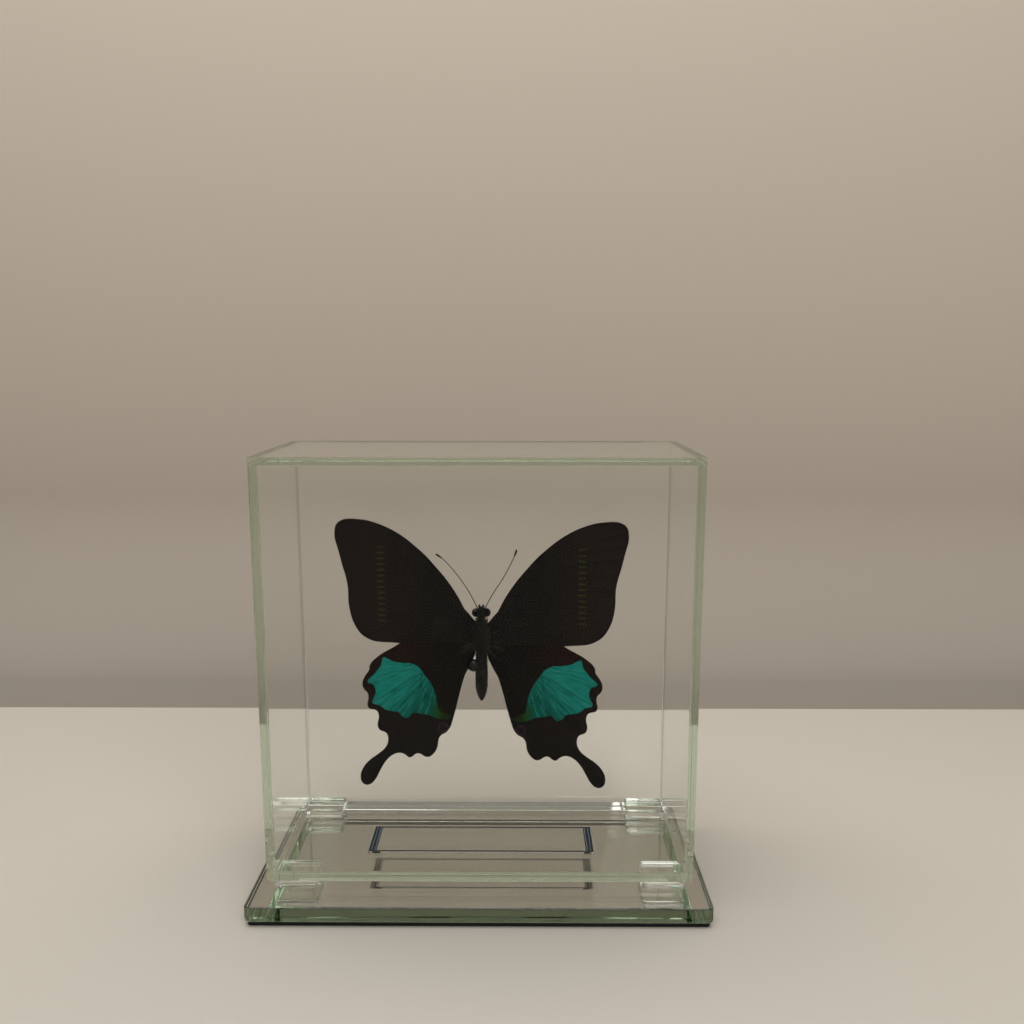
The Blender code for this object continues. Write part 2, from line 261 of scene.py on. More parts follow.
silver = new_finish("silver", Base_Color=(0.72, 0.69, 0.68, 1), Metallic=1.0, Roughness=0.02)[0]
backing_paint, tree, shader = new_finish("backing_paint", Base_Color=(0.10, 0.10, 0.11, 1), Roughness=0.6)
at = add_node(tree, "TexCoord").outputs["Object"]
grain = add_node(tree, "TexNoise", {"Vector": at, "Scale": 900.0, "Detail": 3.0}).outputs[0]
relief(tree, shader, grain, 0.3, 0.1 * MM)
inset = Vector((SILVER_INSET, SILVER_INSET, 0))
layer_top = Vector((base_high.x, base_high.y, base_low.z + SILVER_THICK))
layer_corner = CORNER_RADIUS - SILVER_INSET
layer = cut_slab(base_low + inset, layer_top - inset, layer_corner, SILVER_RIM, BASE_CORNER_STEPS, 1)
for face in layer.faces:
    face.material_index = 0 if face.normal.z > FACING else 1
fit(object_from(layer, "silver_layer", silver, backing_paint), "mirror_base")

GLUE_LINE = 0.02 * MM
FELT_CORNER, FELT_RIM = 1.5 * MM, 0.3 * MM
FELT_LONG_EDGE, FELT_CUTS = 20 * MM, 90
FELT_RAGGED, FELT_WAVE = 0.12 * MM, 0.9 * MM  # how far the cut edge strays, and over what length
FELT_PALE, FELT_DARK = (0.022, 0.021, 0.020, 1), (0.004, 0.004, 0.004, 1)
felt_low, felt_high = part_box("felt_sheet")
felt_high.z = base_low.z - GLUE_LINE
felt_thick = felt_high.z - felt_low.z
felt = cut_slab(felt_low, felt_high, FELT_CORNER, FELT_RIM, 5, 2)
long_edges = [edge for edge in felt.edges if edge.calc_length() > FELT_LONG_EDGE]
bmesh.ops.subdivide_edges(felt, edges=long_edges, cuts=FELT_CUTS)
for corner in felt.verts:
    wander = noise.noise_vector(corner.co / FELT_WAVE) * FELT_RAGGED
    inward = min(abs(corner.co.z - felt_low.z), abs(corner.co.z - felt_high.z)) / felt_thick
    corner.co += Vector((wander.x, wander.y, 0)) * (0.4 + inward)
# Painted shade: the felt's near-black stands for the shade in the gap under the base.
black_felt, tree, shader = new_finish(
    "black_felt", Roughness=0.95, Specular_IOR_Level=0.1, Sheen_Weight=0.15
)
at = add_node(tree, "TexCoord").outputs["Object"]
fibres = add_node(
    tree, "TexNoise", {"Vector": at, "Scale": 2600.0, "Detail": 5.0, "Roughness": 0.75, "Distortion": 1.5}
).outputs[0]
tree.links.new(tinted(tree, fibres, FELT_DARK, FELT_PALE), shader.inputs["Base Color"])
relief(tree, shader, fibres, 0.8, 0.2 * MM)
fit(object_from(felt, "felt_shade_backing", black_felt), "black_felt", "felt_sheet")

# ---- Corner pads ---------------------------------------------------------------------------------
# Four clear acrylic blocks, moulded with round corners and soft rims, glued between the mirror
# base and the case's floor pane.

PAD_CORNER, PAD_RIM = 1.4 * MM, 0.45 * MM
clear_acrylic = new_finish(
    "clear_acrylic", Base_Color=(0.97, 0.99, 0.97, 1), Roughness=0.0, Transmission_Weight=1.0, IOR=1.49
)[0]
floor_low, floor_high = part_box("floor_pane")
for end in ("front", "back"):
    for side in ("left", "right"):
        name = f"pad_{end}_{side}"
        low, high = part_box(name)
        low.z, high.z = base_high.z + GLUE_LINE, floor_low.z - GLUE_LINE
        pad = object_from(cut_slab(low, high, PAD_CORNER, PAD_RIM, 5, 3), f"{name}_block", clear_acrylic)
        fit(pad, "clear_plastic", name)

# ---- Glass case ----------------------------------------------------------------------------------
# Six panes of 2.8 mm float glass, their edges ground and polished, glued edge to edge with clear
# glue. Top and floor run the whole width and the sides the whole depth; front and back stand
# between them. Where two panes meet, the glue lets light pass straight on: it has glass's own IOR.

PANE_ARRIS = 0.16 * MM
CAD_GAP = 0.3 * MM  # left between glued parts by the CAD
SAME_PLACE = 0.001 * MM  # corners closer than this are one
CASE_TINT, CASE_DENSITY, CASE_GLEAM = (0.22, 0.58, 0.18, 1), 6.5, 0.13
case_glass, tree, shader = new_glass("case_glass", CASE_TINT, CASE_DENSITY, CASE_GLEAM)
glued = add_node(tree, "Attribute", attribute_name="glued").outputs["Fac"]
bend = add_node(tree, "MapRange", {"Value": glued, "To Min": GLASS_IOR, "To Max": 1.0}).outputs[0]
tree.links.new(bend, shader.inputs["IOR"])

PANES = ("floor_pane", "top_pane", "front_pane", "back_pane", "left_pane", "right_pane")
case_low, case_high = floor_low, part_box("top_pane")[1]
room_low = Vector((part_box("left_pane")[1].x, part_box("front_pane")[1].y, floor_high.z))
room_high = Vector((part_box("right_pane")[0].x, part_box("back_pane")[0].y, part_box("top_pane")[0].z))


def pane_box(name):
    """The pane's corners, grown over the clearance that the CAD leaves for the glue."""
    low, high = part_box(name)
    thin = min(range(3), key=lambda axis: high[axis] - low[axis])
    for axis in range(3):
        if axis != thin:
            low[axis] = max(low[axis] - (CAD_GAP - GLUE_LINE), case_low[axis])
            high[axis] = min(high[axis] + (CAD_GAP - GLUE_LINE), case_high[axis])
    return low, high


def within(place, box):
    """Whether a place lies in the box between two corners."""
    return all(box[0][axis] < place[axis] < box[1][axis] for axis in range(3))


for name in PANES:
    pane = cut_slab(*pane_box(name), 0, PANE_ARRIS)
    for corner in (room_low, room_high):
        for axis in range(3):
            across = Vector([float(axis == other) for other in range(3)])
            bmesh.ops.bisect_plane(
                pane, geom=pane.verts[:] + pane.edges[:] + pane.faces[:], dist=SAME_PLACE,
                plane_co=corner, plane_no=across,
            )
    mark = pane.faces.layers.float.new("glued")
    others = [pane_box(other) for other in PANES if other != name]
    for face in pane.faces:
        beyond = face.calc_center_median() + face.normal * PANE_ARRIS
        face[mark] = float(any(within(beyond, box) for box in others))
    fit(object_from(pane, f"{name}_glass", case_glass), "case_glass", name)

# ---- Label ---------------------------------------------------------------------------------------
# A strip of clear film lying on the floor pane. Its print is a plain dark blue frame with a pair of
# bars at each short end; the middle is left bare.

label_low, label_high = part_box("label_strip")
label_low.z = floor_high.z + GLUE_LINE
FILM_CORNER, FILM_EDGE = 0.4 * MM, 0.05 * MM
label_film = new_finish(
    "label_film", Base_Color=(0.97, 0.97, 0.96, 1), Roughness=0.04, Transmission_Weight=1.0, IOR=1.45,
    Specular_Tint=(0.3, 0.3, 0.3, 1),
)[0]
strip = cut_slab(label_low, label_high, FILM_CORNER, FILM_EDGE, 3, 1)
fit(object_from(strip, "label_film", label_film), "label_film", "label_strip")

INK_HIGH = 0.02 * MM
FRAME_INSET, FRAME_LINE, FRAME_BAR = 0.25 * MM, 0.75 * MM, 0.8 * MM
END_BARS = ((1.25 * MM, 2.35 * MM, 1), (2.6 * MM, 3.0 * MM, 0))  # from the strip's end; 1 is blue
navy_ink = new_finish(
    "navy_ink", Base_Color=(0.050, 0.078, 0.150, 1), Roughness=0.35, Transmission_Weight=0.6, IOR=1.1
)[0]
blue_ink = new_finish(
    "blue_ink", Base_Color=(0.075, 0.215, 0.400, 1), Roughness=0.35, Transmission_Weight=0.7, IOR=1.1
)[0]


def printed_field(print_mesh, low, high, ink=0):
    """A flat rectangle lying on the film. Gives back its edges."""
    flat = bmesh.ops.create_grid(
        print_mesh, x_segments=1, y_segments=1, size=0.5,
        matrix=Matrix.Translation(((low.x + high.x) / 2, (low.y + high.y) / 2, label_high.z))
        @ Matrix.Diagonal((high.x - low.x, high.y - low.y, 1, 1)),
    )["verts"]
    flat[0].link_faces[0].material_index = ink
    return list({edge for corner in flat for edge in corner.link_edges})


border = bmesh.new()
inset = Vector((FRAME_INSET, FRAME_INSET, 0))
outer = (label_low + inset, label_high - inset)
width = Vector((FRAME_BAR, FRAME_LINE, 0))
rims = printed_field(border, *outer) + printed_field(border, outer[0] + width, outer[1] - width)
bmesh.ops.delete(border, geom=border.faces[:], context="FACES_ONLY")
bmesh.ops.bridge_loops(border, edges=rims)
for near, far, ink in END_BARS:
    bar_low, bar_high = outer[0].y + FRAME_LINE, outer[1].y - FRAME_LINE
    for edge_x, side in ((label_low.x, 1), (label_high.x, -1)):
        ends = sorted((edge_x + side * near, edge_x + side * far))
        printed_field(border, Vector((ends[0], bar_low, 0)), Vector((ends[1], bar_high, 0)), ink)
bmesh.ops.solidify(border, geom=border.faces[:], thickness=INK_HIGH)
bmesh.ops.recalc_face_normals(border, faces=border.faces[:])
lowest = min(corner.co.z for corner in border.verts)
bmesh.ops.translate(border, verts=border.verts[:], vec=(0, 0, label_high.z - lowest))
fit(object_from(border, "label_border", navy_ink, blue_ink), "label_film")

# ---- Pin -----------------------------------------------------------------------------------------
# A steel pin runs from a glossy black ball beside the abdomen back to a clear button, which is
# glued on the inside of the back pane and holds the point.

SPIN_STEPS = 32


def turned(profile, axis_place, axis, steps=SPIN_STEPS):
    """A turned shape: profile lists (distance along the axis, radius) and starts and ends on it."""
    made = bmesh.new()
    side = axis.orthogonal().normalized()
    line = [made.verts.new(axis_place + axis * along + side * radius) for along, radius in profile]
    line += [made.edges.new(pair) for pair in zip(line, line[1:])]
    bmesh.ops.spin(
        made, geom=line, cent=axis_place, axis=axis, angle=2 * math.pi, steps=steps, use_merge=True
    )
    bmesh.ops.remove_doubles(made, verts=made.verts[:], dist=SAME_PLACE)
    bmesh.ops.recalc_face_normals(made, faces=made.faces[:])
    for face in made.faces:
        face.smooth = True
    return made


def arc(centre_along, centre_radius, radius, start, end, steps):
    """Points of a profile on a round, from one angle to the other in degrees, 0 along the axis."""
    turns = [math.radians(start + (end - start) * step / steps) for step in range(steps + 1)]
    return [
        (centre_along + radius * math.cos(turn), max(0, centre_radius + radius * math.sin(turn)))
        for turn in turns
    ]


BACKWARD = Vector((0, 1, 0))
head_low, head_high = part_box("pin_head")
foot_low, foot_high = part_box("pin_foot")
head_radius = (head_high.x - head_low.x) / 2
head_centre = (head_low + head_high) / 2
foot_radius = (foot_high.x - foot_low.x) / 2

SHAFT_RADIUS, POINT_LENGTH = 0.25 * MM, 1.6 * MM
POINT_SHORT = 0.4 * MM  # of the button's back
COLLAR_LENGTH, COLLAR_RADIUS = 0.5 * MM, 0.55 * MM
COLLAR_START, SHAFT_START = 0.94, 0.5  # behind the ball's centre, as shares of its radius
black_glass = new_finish(
    "black_glass", Base_Color=(0.003, 0.003, 0.003, 1), Roughness=0.07, Specular_IOR_Level=0.22
)[0]
ball_back = head_radius * COLLAR_START
ball = [
    *arc(0, 0, head_radius, 180, 18, 16),
    (ball_back + COLLAR_LENGTH, COLLAR_RADIUS), (ball_back + COLLAR_LENGTH, 0),
]
fit(object_from(turned(ball, head_centre, BACKWARD), "pin_ball", black_glass), "pin_black", "pin_head")

pin_steel, tree, shader = new_finish("pin_steel", Base_Color=(0.56, 0.56, 0.57, 1), Metallic=1.0)
at = add_node(tree, "TexCoord").outputs["Object"]
drawn = add_node(tree, "Mapping", {"Vector": at, "Scale": (9000, 120, 9000)}).outputs[0]
streaks = add_node(tree, "TexNoise", {"Vector": drawn, "Scale": 1.0, "Detail": 2.0}).outputs[0]
rough = add_node(tree, "MapRange", {"Value": streaks, "To Min": 0.18, "To Max": 0.38}).outputs[0]
tree.links.new(rough, shader.inputs["Roughness"])
shaft_end = foot_high.y - head_centre.y - POINT_SHORT
shaft = [
    (head_radius * SHAFT_START, 0), (head_radius * SHAFT_START, SHAFT_RADIUS),
    (shaft_end - POINT_LENGTH, SHAFT_RADIUS), (shaft_end, 0),
]
wire = object_from(turned(shaft, head_centre, BACKWARD, 12), "pin_wire", pin_steel)
fit(wire, "pin_steel", "pin_shaft")

ROUND = 0.6 * MM
foot_back = foot_high.y + CAD_GAP - GLUE_LINE
foot_depth = foot_back - foot_low.y
foot_place = Vector((head_centre.x, foot_low.y, head_centre.z))
button_profile = [
    (0, 0), *arc(ROUND, foot_radius - ROUND, ROUND, 180, 90, 5),
    *arc(foot_depth - ROUND / 3, foot_radius - ROUND / 3, ROUND / 3, 90, 0, 3), (foot_depth, 0),
]
button = object_from(turned(button_profile, foot_place, BACKWARD), "pin_button", clear_acrylic)
fit(button, "clear_plastic", "pin_foot")

# ---- Butterfly's body ----------------------------------------------------------------------------
# Head, thorax and abdomen grew as one: a soft skin over a turned form, drawn in at the neck, the
# waist and between the rings of the abdomen, and clothed in dark scales.

body_low, body_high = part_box("butterfly_body")
NOSE_HEIGHT = 12.3 * MM  # the top of the head above the middle of the thorax
thorax = Vector((0, (body_low.y + body_high.y) / 2, body_high.z - NOSE_HEIGHT))
UPWARD = Vector((0, 0, 1))

HEAD_AND_THORAX = (  # height above the middle of the thorax and radius, mm
    (12.2, 0), (12.0, 0.8), (11.3, 1.5), (10.3, 1.9), (9.2, 1.9), (8.2, 1.55), (7.5, 1.5), (6.8, 1.9),
    (5.6, 2.65), (4.0, 3.05), (2.0, 3.2), (0.0, 3.2), (-1.8, 2.95), (-3.4, 2.5), (-4.6, 1.95),
)
RING_COUNT, RINGS_TOP, RINGS_FOOT = 8, -4.9, -23.6
RING_CREASE = 0.07
LUMP_LENGTH, LUMP_HEIGHT = 1.6 * MM, 0.10 * MM


def abdomen_radius(share):
    """The abdomen's radius in mm, from its waist at 0 to its tip at 1."""
    swell = 2.0 + 0.3 * math.sin(math.pi * share)
    return swell * (1 - max(0, share - 0.70) ** 2 / 0.125)


skin_profile = [(height * MM, radius * MM) for height, radius in HEAD_AND_THORAX]
for ring in range(RING_COUNT):
    for place, pull in ((0.0, RING_CREASE), (0.18, 0.015), (0.5, 0.0), (0.86, 0.01)):
        share = (ring + place) / RING_COUNT
        height = RINGS_TOP + (RINGS_FOOT - RINGS_TOP) * share
        skin_profile.append((height * MM, abdomen_radius(share) * (1 - pull) * MM))
skin_profile += [
    (RINGS_FOOT * MM, 0.55 * MM), ((RINGS_FOOT - 0.35) * MM, 0.3 * MM), ((RINGS_FOOT - 0.45) * MM, 0)
]
skin = turned(skin_profile, thorax, UPWARD, 36)
for corner in skin.verts:
    off = corner.co - thorax
    lump = noise.noise(off / LUMP_LENGTH) * LUMP_HEIGHT
    corner.co += Vector((off.x, off.y, 0)).normalized() * lump

dark_scales, tree, shader = new_finish("dark_scales", Roughness=0.72, Specular_IOR_Level=0.25)
at = add_node(tree, "TexCoord").outputs["Object"]
patchy = add_node(tree, "TexNoise", {"Vector": at, "Scale": 700.0, "Detail": 4.0}).outputs[0]
fine = add_node(tree, "TexNoise", {"Vector": at, "Scale": 5200.0, "Detail": 2.0}).outputs[0]
level = add_node(tree, "SeparateXYZ", {0: at}).outputs["Z"]
toward_tip = add_node(
    tree, "MapRange",
    {"Value": level, "From Min": thorax.z - 4 * MM, "From Max": thorax.z - 22 * MM},
).outputs[0]
ground = tinted(tree, toward_tip, (0.010, 0.009, 0.007, 1), (0.030, 0.022, 0.018, 1))
dusted = tinted(tree, patchy, ground, (0.016, 0.017, 0.012, 1))
tree.links.new(dusted, shader.inputs["Base Color"])
relief(tree, shader, fine, 0.6, 0.06 * MM)
fit(object_from(skin, "body_skin", dark_scales), "insect_body", "butterfly_body")

# The eyes are two glossy domes at the sides of the head, with a fine facetted surface.
EYE_RADIUS = 1.5 * MM
EYE_PLACE = (2.1 * MM, -0.2 * MM, 9.9 * MM)
eye_finish, tree, shader = new_finish(
    "eye_finish", Base_Color=(0.006, 0.005, 0.004, 1), Roughness=0.30, Specular_IOR_Level=0.15
)
at = add_node(tree, "TexCoord").outputs["Object"]
facets = add_node(tree, "TexVoronoi", {"Vector": at, "Scale": 9000.0}).outputs["Distance"]
relief(tree, shader, facets, 0.35, 0.03 * MM)
eyes = bmesh.new()
for side in (-1, 1):
    place = thorax + Vector((side * EYE_PLACE[0], EYE_PLACE[1], EYE_PLACE[2]))
    squeeze = Matrix.Diagonal((0.92, 1.0, 1.06, 1))
    bmesh.ops.create_uvsphere(
        eyes, u_segments=28, v_segments=18, radius=EYE_RADIUS, matrix=Matrix.Translation(place) @ squeeze
    )
for face in eyes.faces:
    face.smooth = True
fit(object_from(eyes, "eyes", eye_finish), "insect_body")


# ---- Hair, palps, legs and tongue ----------------------------------------------------------------
# Dark hair clothes the thorax and head and lies down over the wing bases. The legs are folded on
# the underside and the tongue is coiled under the head, as they dry on a set specimen.

def strands(routes, thickness, roundness=0, steps=4):
    """A mesh of tubes; each route lists (place, share of the thickness)."""
    curve = bpy.data.curves.new("strands", "CURVE")
    curve.dimensions = "3D"
    curve.bevel_depth, curve.bevel_resolution = thickness, roundness
    curve.resolution_u, curve.use_fill_caps = steps, True
    for route in routes:
        spline = curve.splines.new("BEZIER")
        spline.bezier_points.add(len(route) - 1)
        for knot, (place, share) in zip(spline.bezier_points, route):
            knot.co, knot.radius = place, share
            knot.handle_left_type = knot.handle_right_type = "AUTO"
    holder = bpy.data.objects.new("strands", curve)
    scene.collection.objects.link(holder)
    drawn = bpy.data.meshes.new_from_object(holder.evaluated_get(bpy.context.evaluated_depsgraph_get()))
    bpy.data.objects.remove(holder)
    made = bmesh.new()
    made.from_mesh(drawn)
    bpy.data.meshes.remove(drawn)
    bmesh.ops.remove_doubles(made, verts=made.verts[:], dist=0.0001 * MM)
    bmesh.ops.recalc_face_normals(made, faces=made.faces[:])
    for face in made.faces:
        face.smooth = True
    return made


def skin_radius(height):
    """The body's radius at a height above the middle of the thorax."""
    for (high, upper), (low, lower) in zip(skin_profile, skin_profile[1:]):
        if low <= height <= high:
            return lower + (upper - lower) * (height - low) / max(high - low, 1e-9)
    return 0.0


HAIR_ROOT = 0.035 * MM
COATS = (  # lowest and highest root, mm; count; length, mm; how far it stands off; droop
    (-4.6, 7.2, 1500, (1.2, 2.4), 0.34, 0.9),
    (7.2, 11.6, 420, (0.5, 1.1), 0.5, -0.3),
    (-23.0, -4.6, 900, (0.35, 0.8), 0.30, 1.0),
)
dice = random.Random(7)
routes = []
for low, high, count, lengths, stand, droop in COATS:
    for _ in range(count):
        height = dice.uniform(low, high) * MM
        turn = dice.uniform(0, 2 * math.pi)
        outward = Vector((math.cos(turn), math.sin(turn), 0))
        root = thorax + outward * (skin_radius(height) - 0.05 * MM) + UPWARD * height
        length = dice.uniform(*lengths) * MM
        lean = (outward * stand - UPWARD * droop).normalized()
        sway = Vector((dice.uniform(-1, 1), dice.uniform(-1, 1), dice.uniform(-1, 1))) * 0.25
        middle = root + (lean + sway * 0.5 + outward * 0.25).normalized() * length * 0.5
        tip = middle + (lean + sway - outward * 0.1).normalized() * length * 0.5
        routes.append([(root, 1.0), (middle, 0.8), (tip, 0.15)])
hair_finish, tree, shader = new_finish("body_hair", Roughness=0.6, Specular_IOR_Level=0.3)
at = add_node(tree, "TexCoord").outputs["Object"]
tone = add_node(tree, "TexNoise", {"Vector": at, "Scale": 1500.0, "Detail": 1.0}).outputs[0]
hair_colour = tinted(tree, tone, (0.006, 0.006, 0.004, 1), (0.034, 0.036, 0.026, 1))
tree.links.new(hair_colour, shader.inputs["Base Color"])
fit(object_from(strands(routes, HAIR_ROOT, 0, 2), "body_hair", hair_finish), "insect_body")

HALF_LEGS = (  # (out, back, up) from the middle of the thorax, mm: hip, knee, ankle, foot
    ((1.1, 2.5, 4.6), (2.3, 4.4, 6.4), (1.5, 5.3, 2.0), (0.8, 5.5, -2.6)),
    ((1.3, 2.8, 1.2), (3.1, 5.0, 3.2), (2.0, 6.0, -3.2), (1.2, 6.1, -9.0)),
    ((1.3, 2.5, -2.0), (2.9, 4.7, -0.6), (1.9, 5.6, -7.4), (1.4, 5.3, -14.0)),
)
LEG_RADIUS, CLAW = 0.17 * MM, UPWARD * -0.3 * MM
legs = []
for side in (-1, 1):
    for joints in HALF_LEGS:
        hip, knee, ankle, foot = [thorax + Vector((side * x, y, z)) * MM for x, y, z in joints]
        legs.append([(hip, 1.5), ((hip + knee) / 2, 1.7), (knee, 1.0)])
        legs.append([(knee, 0.95), ((knee + ankle) / 2, 0.85), (ankle, 0.75)])
        legs.append([(ankle, 0.7), ((ankle + foot) / 2, 0.55), (foot, 0.45), (foot + CLAW, 0.15)])
fit(object_from(strands(legs, LEG_RADIUS, 2), "legs", dark_scales), "insect_body")

TONGUE_TURNS, TONGUE_STEPS, TONGUE_RADIUS = 2.6, 40, 0.13 * MM
coil_centre = thorax + Vector((0, 2.6, 8.2)) * MM
tongue = []
for step in range(TONGUE_STEPS + 1):
    share = step / TONGUE_STEPS
    turn = 2 * math.pi * TONGUE_TURNS * share + math.pi * 0.9
    reach = (0.2 + 0.85 * share) * MM
    place = coil_centre + Vector((0, math.cos(turn) * reach, math.sin(turn) * reach))
    tongue.append((place, 0.6 + 0.4 * share))
fit(object_from(strands([tongue], TONGUE_RADIUS, 2, 2), "tongue", eye_finish), "insect_body")

palps = bmesh.new()
for side in (-1, 1):
    place = thorax + Vector((side * 0.65, 0.5, 12.0)) * MM
    squeeze = Matrix.Rotation(math.radians(side * 12), 4, "Y") @ Matrix.Diagonal((0.8, 0.9, 1.5, 1))
    bmesh.ops.create_uvsphere(
        palps, u_segments=14, v_segments=10, radius=0.55 * MM, matrix=Matrix.Translation(place) @ squeeze
    )
for face in palps.faces:
    face.smooth = True
fit(object_from(palps, "palps", dark_scales), "insect_body")

# ---- Antennae ------------------------------------------------------------------------------------
# Two thin feelers of many short rings, each ending in a slender club.

FEELER_RADIUS, FEELER_FORWARD = 0.17 * MM, 0.6 * MM
CLUB_START, CLUB_SWELL = 0.80, 1.3
FEELERS = {  # (out, up) from the middle of the thorax, mm
    "left": ((1.1, 11.2), (4.2, 17.4), (7.4, 22.4), (10.8, 26.8), (14.0, 30.2), (16.4, 31.9)),
    "right": ((1.1, 11.2), (4.4, 17.2), (7.6, 22.2), (10.2, 26.9), (12.0, 30.7), (13.0, 33.5)),
}
RINGS_PER_STRETCH = 16


def smooth_route(points, steps, closed=False):
    """Points on a smooth curve through the given points, steps of them for each stretch."""
    count = len(points)
    points = [Vector(point) for point in points]
    at = (lambda i: points[i % count]) if closed else (lambda i: points[max(0, min(count - 1, i))])
    made = []
    for i in range(count if closed else count - 1):
        before, start, end, after = at(i - 1), at(i), at(i + 1), at(i + 2)
        part = geometry.interpolate_bezier(
            start, start + (end - before) / 6, end - (after - start) / 6, end, steps + 1
        )
        made += part[:-1]
    return made if closed else made + [points[-1]]


for side_name, side in (("left", -1), ("right", 1)):
    line = smooth_route([(out, 0, up) for out, up in FEELERS[side_name]], RINGS_PER_STRETCH)
    route = []
    for i, spot in enumerate(line):
        share = i / (len(line) - 1)
        club = max(0, (share - CLUB_START) / (1 - CLUB_START))
        swell = 1 + CLUB_SWELL * math.sin(math.pi * min(1, club * 0.9)) if club else 1 - 0.15 * share
        ring = 1.0 if i % 2 else 0.84
        place = thorax + Vector((side * spot.x, 0, spot.z)) * MM - BACKWARD * FEELER_FORWARD
        route.append((place, swell * ring * (0.35 if share == 1 else 1)))
    feeler = object_from(strands([route], FEELER_RADIUS, 2, 1), f"feeler_{side_name}", dark_scales)
    fit(feeler, "insect_body", f"antenna_{side_name}")

# ---- Wings ---------------------------------------------------------------------------------------
# Each wing is one thin membrane stiffened by branching tubular veins and covered with scales. It
# is furrowed between the veins and slightly hollow, and its root is buried in the thorax hair.

CELL, MEMBRANE, VEIN_RADIUS = 0.45, 0.10, 0.14  # mm
VEIN_TAPER = 0.62
RIM_STEPS = 4
ROOT_EDGE, ROOT_REACH = 6.0, 1.6  # inside the edge the sheet is drawn inward by the reach, mm

FOREWING_VEINS = (  # (out, up) from the middle of the thorax, mm, from the root to the margin
    ((3.2, 4.6), (9.4, 15.6), (17.0, 26.2), (25.0, 34.2), (34.8, 40.8), (45.4, 43.7)),
    ((3.2, 3.8), (12.0, 17.0), (20.5, 28.0), (28.5, 36.2)),
    ((3.2, 3.2), (12.0, 13.6), (20.0, 22.8), (28.0, 30.4)),
    ((17.0, 19.4), (27.0, 31.6), (38.0, 42.0)),
    ((22.0, 24.8), (32.5, 34.8), (44.0, 43.8)),
    ((28.0, 30.4), (38.5, 38.2), (50.0, 43.6)),
    ((32.5, 33.8), (42.0, 37.8), (52.4, 40.4)),
    ((28.0, 30.4), (33.0, 33.0), (42.5, 35.0), (52.0, 36.0)),
    ((28.0, 30.4), (30.4, 28.2), (30.6, 24.0), (28.8, 19.6), (25.0, 16.2)),
    ((30.4, 28.2), (41.0, 30.4), (51.4, 31.0)),
    ((30.6, 24.0), (40.5, 25.2), (50.0, 25.6)),
    ((28.8, 19.6), (39.0, 20.0), (48.8, 20.0)),
    ((3.2, 2.4), (10.5, 6.6), (18.0, 11.2), (25.0, 16.2)),
    ((25.0, 16.2), (37.0, 15.2), (48.4, 14.4)),
    ((18.0, 11.2), (32.0, 9.8), (47.2, 7.4)),
    ((3.2, 0.8), (16.0, 2.0), (31.0, 2.4), (43.6, 1.6)),
)
HINDWING_VEINS = (
    ((3.4, -0.6), (12.0, 1.2), (22.0, 0.0), (31.0, -4.0), (38.5, -8.6)),
    ((3.6, -2.2), (12.5, -6.8), (22.0, -13.6)),
    ((12.5, -6.8), (27.0, -10.6), (44.4, -17.4)),
    ((22.0, -13.6), (32.0, -19.4), (42.8, -25.4)),
    ((22.0, -13.6), (22.8, -18.2), (20.6, -22.4), (16.8, -24.6), (13.0, -19.6)),
    ((22.8, -18.2), (30.5, -26.0), (39.0, -33.4)),
    ((20.6, -22.4), (29.0, -33.0), (36.2, -42.6), (41.4, -49.4), (44.4, -54.4)),
    ((3.8, -4.2), (8.4, -12.6), (13.0, -19.6)),
    ((16.8, -24.6), (22.0, -35.0), (27.6, -46.2)),
    ((13.0, -19.6), (15.8, -32.0), (20.8, -46.4)),
    ((4.0, -6.0), (8.2, -18.0), (12.2, -29.6), (15.4, -37.8)),
)
TEAL_PATCH = (  # outline of the teal field on the hindwing, mm
    (36.5, -7.4), (33.1, -9.0), (29.7, -9.7), (26.3, -9.9), (23.3, -11.7), (20.9, -15.0), (18.8, -18.1),
    (17.5, -21.5), (16.6, -25.7), (15.9, -28.3), (11.7, -30.3), (11.7, -31.5), (14.8, -31.9), (17.8, -31.1),
    (19.9, -30.1), (22.8, -29.7), (25.8, -29.1), (27.9, -31.0), (30.2, -30.2), (31.5, -28.5), (35.7, -27.7),
    (38.2, -26.0), (41.0, -24.7), (39.8, -21.1), (40.3, -18.1), (42.7, -16.6), (40.0, -13.6), (37.6, -10.6),
)


def nearest_on(points):
    """A tree that finds how far a place in the wing's plane is from the nearest of the points."""
    found = kdtree.KDTree(len(points))
    for i, point in enumerate(points):
        found.insert((point[0], point[1], 0), i)
    found.balance()
    return found


def inside(place, ring):
    """Whether a place lies inside a closed outline, both in the wing's plane."""
    crossed = False
    for a, b in zip(ring, ring[1:] + ring[:1]):
        if (a[1] > place[1]) != (b[1] > place[1]):
            crossed ^= place[0] < a[0] + (b[0] - a[0]) * (place[1] - a[1]) / (b[1] - a[1])
    return crossed


def rim_of(node):
    """The outline of a CAD wing's front face, in the wing's plane in mm, and the face's slope."""
    copy = bmesh.new()
    copy.from_mesh(bpy.data.objects[node].data)
    bmesh.ops.remove_doubles(copy, verts=copy.verts[:], dist=SAME_PLACE)
    bmesh.ops.delete(copy, geom=[f for f in copy.faces if f.normal.y > -FACING], context="FACES")
    bmesh.ops.dissolve_faces(copy, faces=copy.faces[:])
    ring = [loop.vert.co.copy() for face in copy.faces for loop in face.loops]
    copy.free()
    near, far = min(ring, key=lambda p: abs(p.x)), max(ring, key=lambda p: abs(p.x))
    slope = (far.y - near.y) / (abs(far.x) - abs(near.x))
    level = near.y - slope * abs(near.x)
    return [Vector((abs(p.x) / MM, (p.z - thorax.z) / MM, 0)) for p in ring], level, slope


